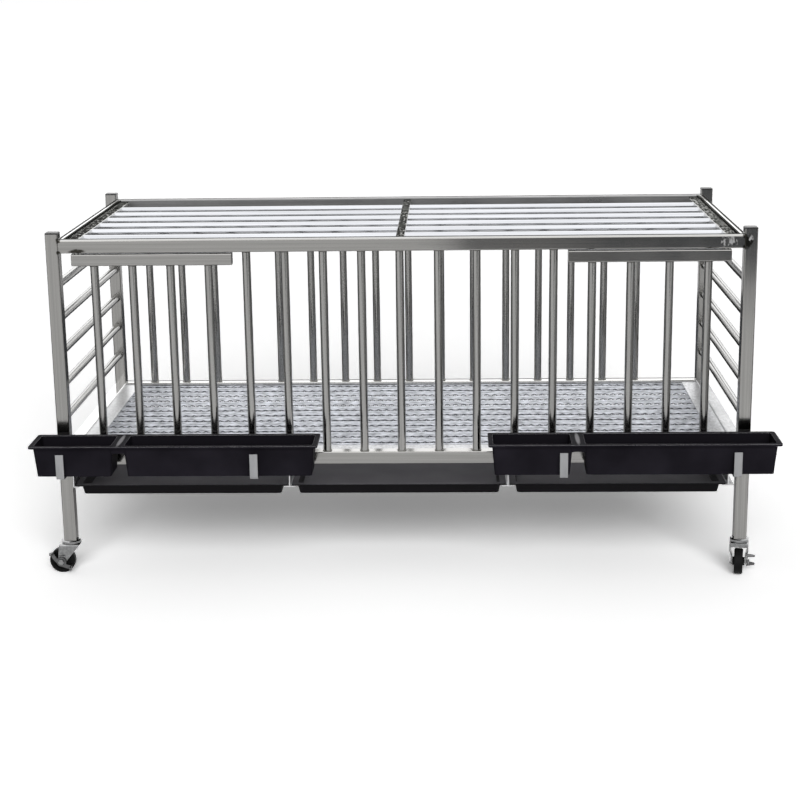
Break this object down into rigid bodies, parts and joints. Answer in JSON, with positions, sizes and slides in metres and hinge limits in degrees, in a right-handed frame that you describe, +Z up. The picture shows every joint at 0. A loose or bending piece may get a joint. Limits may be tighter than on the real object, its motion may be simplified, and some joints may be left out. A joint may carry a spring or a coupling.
{
  "type": "chicken cage",
  "caption": "Long low chicken cage of polished steel tube and bars on swivel casters, with inward swing doors, hung feed troughs, a wire floor and slide-out droppings trays.",
  "frame": {"origin": "on the ground under the middle of the overall box", "axes": "+X along the cage's length to the right of the front, -Y out of the front where the troughs hang, +Z up"},
  "size_m": [1.2714, 0.6346, 0.608],
  "materials": {
    "polished_steel": "mirror-polished stainless tube",
    "mesh_wire": "woven wire, satin",
    "sheet_steel": "smooth bent strip",
    "caster_steel": "bright zinc plate",
    "black_plastic": "moulded, slight sheen",
    "tray_plastic": "moulded, matt",
    "cap_plastic": "moulded",
    "wheel_plastic": "moulded tread"
  },
  "bodies": {
    "frame": {"post_front_left": "polished_steel", "post_front_right": "polished_steel", "post_rear_left": "polished_steel", "post_rear_right": "polished_steel", "post_caps": "cap_plastic", "top_rail_front": "polished_steel", "top_rail_rear": "polished_steel", "roof_end_tube_left": "polished_steel", "roof_end_tube_right": "polished_steel", "roof_grid_tube_left": "polished_steel", "roof_grid_tube_right": "polished_steel", "roof_middle_tube": "polished_steel", "roof_bars": "polished_steel", "bottom_rail_front": "polished_steel", "bottom_rail_rear": "polished_steel", "bottom_rail_left": "polished_steel", "bottom_rail_right": "polished_steel", "front_bars": "polished_steel", "rear_bars": "polished_steel", "side_bars_left": "polished_steel", "side_bars_right": "polished_steel", "floor_mesh": "mesh_wire", "tray_runner_left": "sheet_steel", "tray_runner_middle_left": "sheet_steel", "tray_runner_middle_right": "sheet_steel", "tray_runner_right": "sheet_steel", "trough_bracket_left_outer": "sheet_steel", "trough_bracket_left_inner": "sheet_steel", "trough_bracket_right_outer": "sheet_steel", "trough_bracket_right_inner": "sheet_steel", "caster_stems": "caster_steel"},
    "door_left": {"door_left_top_tube": "polished_steel", "door_left_bars": "polished_steel", "door_left_bottom_tube": "polished_steel", "door_left_pivot_pins": "polished_steel"},
    "door_right": {"door_right_top_tube": "polished_steel", "door_right_bars": "polished_steel", "door_right_bottom_tube": "polished_steel", "door_right_pivot_pins": "polished_steel"},
    "trough_left": {"trough_left": "black_plastic"},
    "trough_right": {"trough_right": "black_plastic"},
    "tray_left": {"tray_left": "tray_plastic"},
    "tray_middle": {"tray_middle": "tray_plastic"},
    "tray_right": {"tray_right": "tray_plastic"},
    "caster_front_left_swivel": {"caster_front_left_fork": "caster_steel", "caster_front_left_axle": "caster_steel"},
    "caster_front_left_wheel": {"caster_front_left_wheel": "wheel_plastic"},
    "caster_front_left_brake": {"caster_front_left_brake": "caster_steel"},
    "caster_front_right_swivel": {"caster_front_right_fork": "caster_steel", "caster_front_right_axle": "caster_steel"},
    "caster_front_right_wheel": {"caster_front_right_wheel": "wheel_plastic"},
    "caster_front_right_brake": {"caster_front_right_brake": "caster_steel"},
    "caster_rear_left_swivel": {"caster_rear_left_fork": "caster_steel", "caster_rear_left_axle": "caster_steel"},
    "caster_rear_left_wheel": {"caster_rear_left_wheel": "wheel_plastic"},
    "caster_rear_left_brake": {"caster_rear_left_brake": "caster_steel"},
    "caster_rear_right_swivel": {"caster_rear_right_fork": "caster_steel", "caster_rear_right_axle": "caster_steel"},
    "caster_rear_right_wheel": {"caster_rear_right_wheel": "wheel_plastic"},
    "caster_rear_right_brake": {"caster_rear_right_brake": "caster_steel"}
  },
  "joints": [
    {"name": "door_left_swing", "type": "hinge", "parent": "frame", "child": "door_left", "pos_m": [-0.5535, -0.21825, 0.222], "axis": [0, 0, 1], "range_deg": [0, 90]},
    {"name": "door_right_swing", "type": "hinge", "parent": "frame", "child": "door_right", "pos_m": [0.5455, -0.21825, 0.222], "axis": [0, 0, -1], "range_deg": [0, 90]},
    {"name": "trough_left_lift", "type": "slide", "parent": "frame", "child": "trough_left", "axis": [0, 0, 1], "range_m": [0, 0.08]},
    {"name": "trough_right_lift", "type": "slide", "parent": "frame", "child": "trough_right", "axis": [0, 0, 1], "range_m": [0, 0.08]},
    {"name": "tray_left_pull", "type": "slide", "parent": "frame", "child": "tray_left", "axis": [0, -1, 0], "range_m": [0, 0.42]},
    {"name": "tray_middle_pull", "type": "slide", "parent": "frame", "child": "tray_middle", "axis": [0, -1, 0], "range_m": [0, 0.42]},
    {"name": "tray_right_pull", "type": "slide", "parent": "frame", "child": "tray_right", "axis": [0, -1, 0], "range_m": [0, 0.42]},
    {"name": "caster_front_left_turn", "type": "hinge", "parent": "frame", "child": "caster_front_left_swivel", "pos_m": [-0.593, -0.21825, 0.054], "axis": [0, 0, 1], "continuous": true},
    {"name": "caster_front_left_roll", "type": "hinge", "parent": "caster_front_left_swivel", "child": "caster_front_left_wheel", "pos_m": [-0.61, -0.21825, 0.0225], "axis": [0, -1, 0], "continuous": true},
    {"name": "caster_front_left_brake_press", "type": "hinge", "parent": "caster_front_left_swivel", "child": "caster_front_left_brake", "pos_m": [-0.61, -0.21825, 0.0225], "axis": [0, -1, 0], "range_deg": [-18, 0]},
    {"name": "caster_front_right_turn", "type": "hinge", "parent": "frame", "child": "caster_front_right_swivel", "pos_m": [0.585, -0.21825, 0.054], "axis": [0, 0, 1], "continuous": true},
    {"name": "caster_front_right_roll", "type": "hinge", "parent": "caster_front_right_swivel", "child": "caster_front_right_wheel", "pos_m": [0.58205, -0.23499, 0.0225], "axis": [0.9848, -0.1736, 0], "continuous": true},
    {"name": "caster_front_right_brake_press", "type": "hinge", "parent": "caster_front_right_swivel", "child": "caster_front_right_brake", "pos_m": [0.58205, -0.23499, 0.0225], "axis": [0.9848, -0.1736, 0], "range_deg": [-18, 0]},
    {"name": "caster_rear_left_turn", "type": "hinge", "parent": "frame", "child": "caster_rear_left_swivel", "pos_m": [-0.593, 0.29975, 0.054], "axis": [0, 0, 1], "continuous": true},
    {"name": "caster_rear_left_roll", "type": "hinge", "parent": "caster_rear_left_swivel", "child": "caster_rear_left_wheel", "pos_m": [-0.593, 0.28275, 0.0225], "axis": [1, 0, 0], "continuous": true},
    {"name": "caster_rear_left_brake_press", "type": "hinge", "parent": "caster_rear_left_swivel", "child": "caster_rear_left_brake", "pos_m": [-0.593, 0.28275, 0.0225], "axis": [1, 0, 0], "range_deg": [-18, 0]},
    {"name": "caster_rear_right_turn", "type": "hinge", "parent": "frame", "child": "caster_rear_right_swivel", "pos_m": [0.585, 0.29975, 0.054], "axis": [0, 0, 1], "continuous": true},
    {"name": "caster_rear_right_roll", "type": "hinge", "parent": "caster_rear_right_swivel", "child": "caster_rear_right_wheel", "pos_m": [0.585, 0.28275, 0.0225], "axis": [1, 0, 0], "continuous": true},
    {"name": "caster_rear_right_brake_press", "type": "hinge", "parent": "caster_rear_right_swivel", "child": "caster_rear_right_brake", "pos_m": [0.585, 0.28275, 0.0225], "axis": [1, 0, 0], "range_deg": [-18, 0]}
  ]
}
